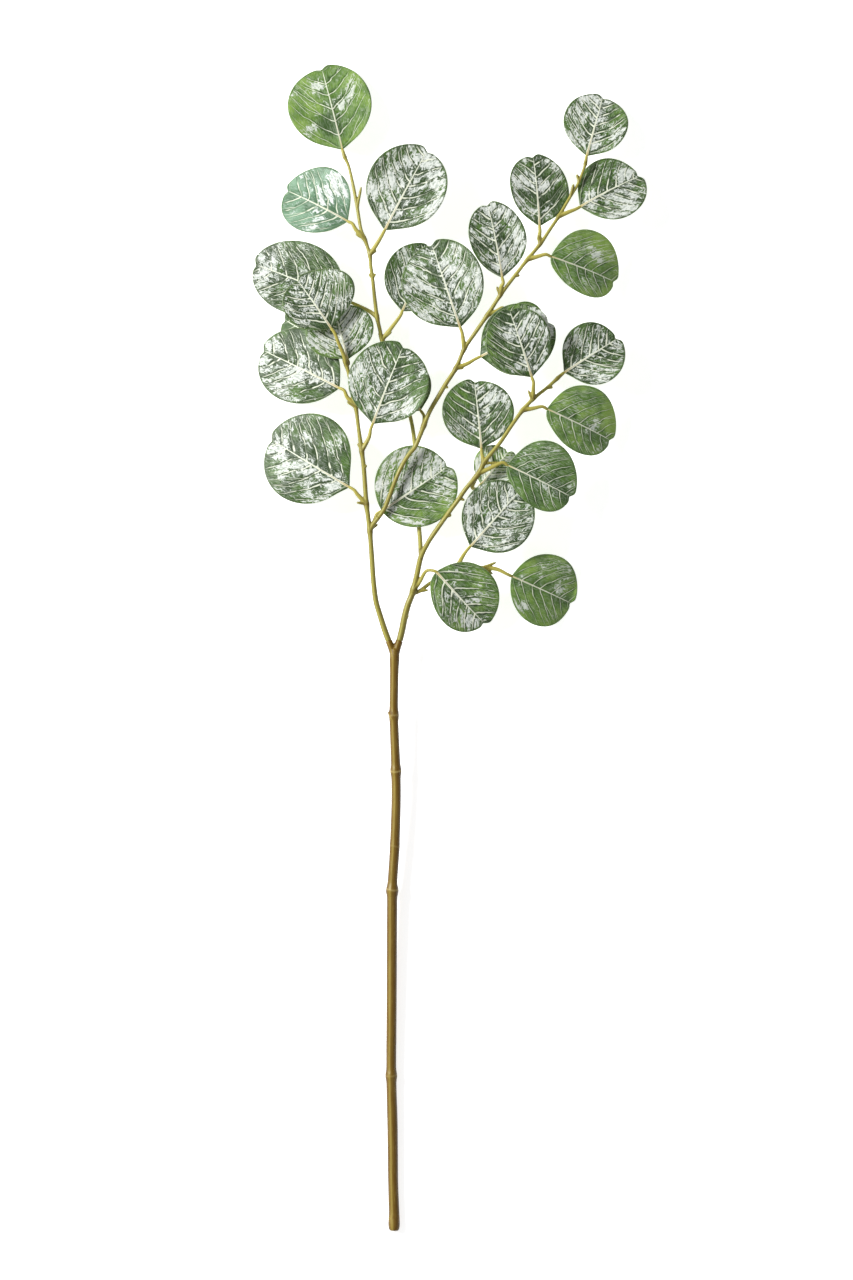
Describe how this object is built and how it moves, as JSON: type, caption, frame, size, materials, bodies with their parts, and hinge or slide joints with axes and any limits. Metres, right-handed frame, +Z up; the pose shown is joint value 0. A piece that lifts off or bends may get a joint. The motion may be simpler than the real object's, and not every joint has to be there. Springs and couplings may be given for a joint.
{
  "type": "eucalyptus branch",
  "caption": "Cut eucalyptus branch with a bare lower stem, forked twigs and round, pale-veined frosted green leaves, lying flat",
  "frame": {"origin": "on the surface the branch lies on, at the small flat spot under the collar at the stem's cut end", "axes": "+Y runs up the branch from the cut end to the leaf tips, +Z is up, away from the surface it lies on, and +X is to the right of the branch seen from above with its tips up"},
  "size_m": [0.2773, 0.8191, 0.0474],
  "materials": {
    "bark": "satin olive-brown bark with thin paler rings",
    "twig": "satin olive twigs, browner below, ochre at the leaf stalks",
    "leaf_frosted": "semi-matt green under a broken white bloom, cream midrib and veins",
    "leaf_green": "semi-matt green with fine pale veins and a few whitish patches",
    "leaf_mint": "semi-matt bluish mint green with pale veins"
  },
  "bodies": {
    "root": {"main_stem": "bark", "left_stem": "twig", "right_stem": "twig", "centre_left_stem": "twig", "centre_right_stem": "twig", "leaf_centre_left_3": "leaf_frosted", "leaf_centre_left_4": "leaf_frosted", "leaf_centre_left_5": "leaf_frosted", "leaf_centre_right_1": "leaf_frosted", "leaf_centre_right_2": "leaf_frosted", "leaf_centre_right_3": "leaf_frosted", "leaf_centre_right_4": "leaf_frosted", "leaf_centre_right_6": "leaf_frosted", "leaf_centre_right_7": "leaf_frosted", "leaf_cross": "leaf_frosted", "leaf_inner_1": "leaf_frosted", "leaf_inner_2": "leaf_frosted", "leaf_left_1": "leaf_frosted", "leaf_left_2": "leaf_frosted", "leaf_left_3": "leaf_frosted", "leaf_left_4": "leaf_frosted", "leaf_right_1": "leaf_frosted", "leaf_right_4": "leaf_frosted", "leaf_right_5": "leaf_frosted", "leaf_right_6": "leaf_frosted", "leaf_twig_1": "leaf_frosted", "leaf_twig_2": "leaf_frosted", "leaf_centre_left_1": "leaf_green", "leaf_centre_right_5": "leaf_green", "leaf_centre_right_8": "leaf_green", "leaf_left_5": "leaf_green", "leaf_right_2": "leaf_green", "leaf_right_3": "leaf_green", "leaf_twig_3": "leaf_green", "leaf_centre_left_2": "leaf_mint"}
  },
  "joints": []
}
